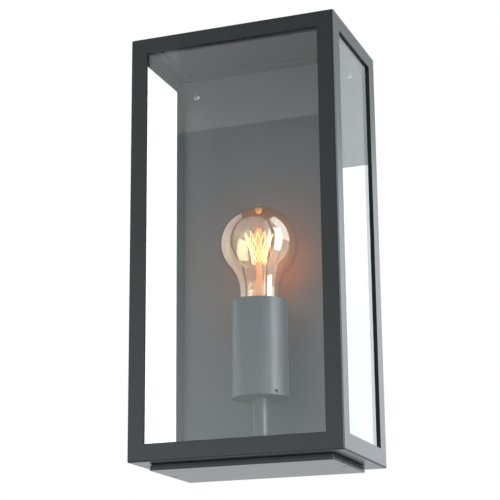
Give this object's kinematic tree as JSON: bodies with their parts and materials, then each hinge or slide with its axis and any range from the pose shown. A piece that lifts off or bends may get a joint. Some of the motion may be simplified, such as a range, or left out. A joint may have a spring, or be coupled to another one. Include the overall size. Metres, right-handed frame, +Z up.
{
  "type": "outdoor wall lantern",
  "caption": "Tall glazed box wall lantern with a dark folded metal cage, a flat back plate and an E27 lamp standing in a cylindrical cup on a bent arm.",
  "frame": {"origin": "middle of the four wall fixings, on the wall's surface, at half the height of the cage and on its middle", "axes": "+X to the right of someone facing the wall, +Y into the wall, +Z up"},
  "size_m": [0.165, 0.107, 0.3346],
  "materials": {
    "cage_paint": "fine satin powder coat",
    "inner_paint": "satin powder coat",
    "clear_glass": "clear polished",
    "black_foam": "matt closed-cell foam",
    "black_rubber": "matt",
    "zinc_steel": "zinc plated",
    "screw_steel": "stainless",
    "yellow_brass": "turned",
    "nickel_shell": "nickel plated",
    "lamp_cap_metal": "bright rolled",
    "white_ceramic": "glazed",
    "black_insulator": "glassy black",
    "solder": "dull solder",
    "amber_glass": "amber tint",
    "stem_glass": "clear",
    "glowing_filament": "glowing carbon",
    "hook_wire": "drawn wire",
    "white_plastic": "moulded",
    "brown_insulation": "satin",
    "blue_insulation": "satin"
  },
  "bodies": {
    "wall_part": {"arm_flange": "inner_paint", "arm_nut": "zinc_steel", "arm_washer": "zinc_steel", "back_plate": "inner_paint", "back_plate_screws": "screw_steel", "blue_wire": "blue_insulation", "brown_wire": "brown_insulation", "centre_contact": "yellow_brass", "cup_nipple": "yellow_brass", "cup_nut": "yellow_brass", "earth_nut": "zinc_steel", "earth_stud": "yellow_brass", "earth_tag": "zinc_steel", "holder_screws": "screw_steel", "holder_spacers": "zinc_steel", "holder_yoke": "zinc_steel", "lamp_arm": "inner_paint", "lampholder_ceramic": "white_ceramic", "lampholder_cup": "inner_paint", "lower_wall_strap": "zinc_steel", "rear_nipple": "yellow_brass", "screw_shell": "nickel_shell", "strap_bushes": "zinc_steel", "terminal_block": "white_plastic", "terminal_screws": "screw_steel", "upper_wall_strap": "zinc_steel", "wall_gasket": "black_rubber"},
    "cage": {"roof": "cage_paint", "roof_flange": "inner_paint", "front_left_post": "cage_paint", "front_right_post": "cage_paint", "rear_left_post": "cage_paint", "rear_right_post": "cage_paint", "left_glass_channel": "inner_paint", "right_glass_channel": "inner_paint", "bottom_frame": "cage_paint", "front_glass": "clear_glass", "left_glass": "clear_glass", "right_glass": "clear_glass", "front_tape": "black_foam", "side_tapes": "black_foam", "glazing_beads": "inner_paint", "cage_nuts": "zinc_steel", "cover_rivet_nuts": "zinc_steel"},
    "bottom_cover": {"bottom_cover": "cage_paint", "cover_liner": "cage_paint", "cover_seal": "black_rubber"},
    "lamp_foot": {"foot_contact": "solder", "cap_insulator": "black_insulator"},
    "lamp": {"lamp_glass": "amber_glass", "lamp_cap": "lamp_cap_metal", "glass_stem": "stem_glass", "filament": "glowing_filament", "filament_hooks": "hook_wire", "lead_wires": "hook_wire"},
    "left_cage_screw": {"left_cage_screw": "screw_steel"},
    "right_cage_screw": {"right_cage_screw": "screw_steel"},
    "left_cover_screw": {"left_cover_screw": "screw_steel"},
    "right_cover_screw": {"right_cover_screw": "screw_steel"}
  },
  "joints": [
    {"name": "cage_pull", "type": "slide", "parent": "wall_part", "child": "cage", "axis": [0, -1, 0], "range_m": [0, 0.1]},
    {"name": "cover_drop", "type": "slide", "parent": "cage", "child": "bottom_cover", "axis": [0, 0, -1], "range_m": [0, 0.1]},
    {"name": "lamp_rise", "type": "slide", "parent": "wall_part", "child": "lamp_foot", "axis": [0, 0, 1], "range_m": [0, 0.01815]},
    {"name": "lamp_turn", "type": "hinge", "parent": "lamp_foot", "child": "lamp", "pos_m": [0, -0.047, 0], "axis": [0, 0, 1], "range_deg": [0, 1799]},
    {"name": "left_cage_screw_turn", "type": "hinge", "parent": "cage", "child": "left_cage_screw", "pos_m": [-0.055, -0.0085, -0.165], "axis": [0, 0, -1], "range_deg": [0, 720]},
    {"name": "right_cage_screw_turn", "type": "hinge", "parent": "cage", "child": "right_cage_screw", "pos_m": [0.055, -0.0085, -0.165], "axis": [0, 0, -1], "range_deg": [0, 720]},
    {"name": "left_cover_screw_turn", "type": "hinge", "parent": "bottom_cover", "child": "left_cover_screw", "pos_m": [-0.0665, -0.0552, -0.165], "axis": [0, 0, -1], "range_deg": [0, 1800]},
    {"name": "right_cover_screw_turn", "type": "hinge", "parent": "bottom_cover", "child": "right_cover_screw", "pos_m": [0.0665, -0.0552, -0.165], "axis": [0, 0, -1], "range_deg": [0, 1800]}
  ],
  "couplings": [
    {"joint": "lamp_rise", "follows": "lamp_turn", "m_per_rad": 0.00057757}
  ]
}
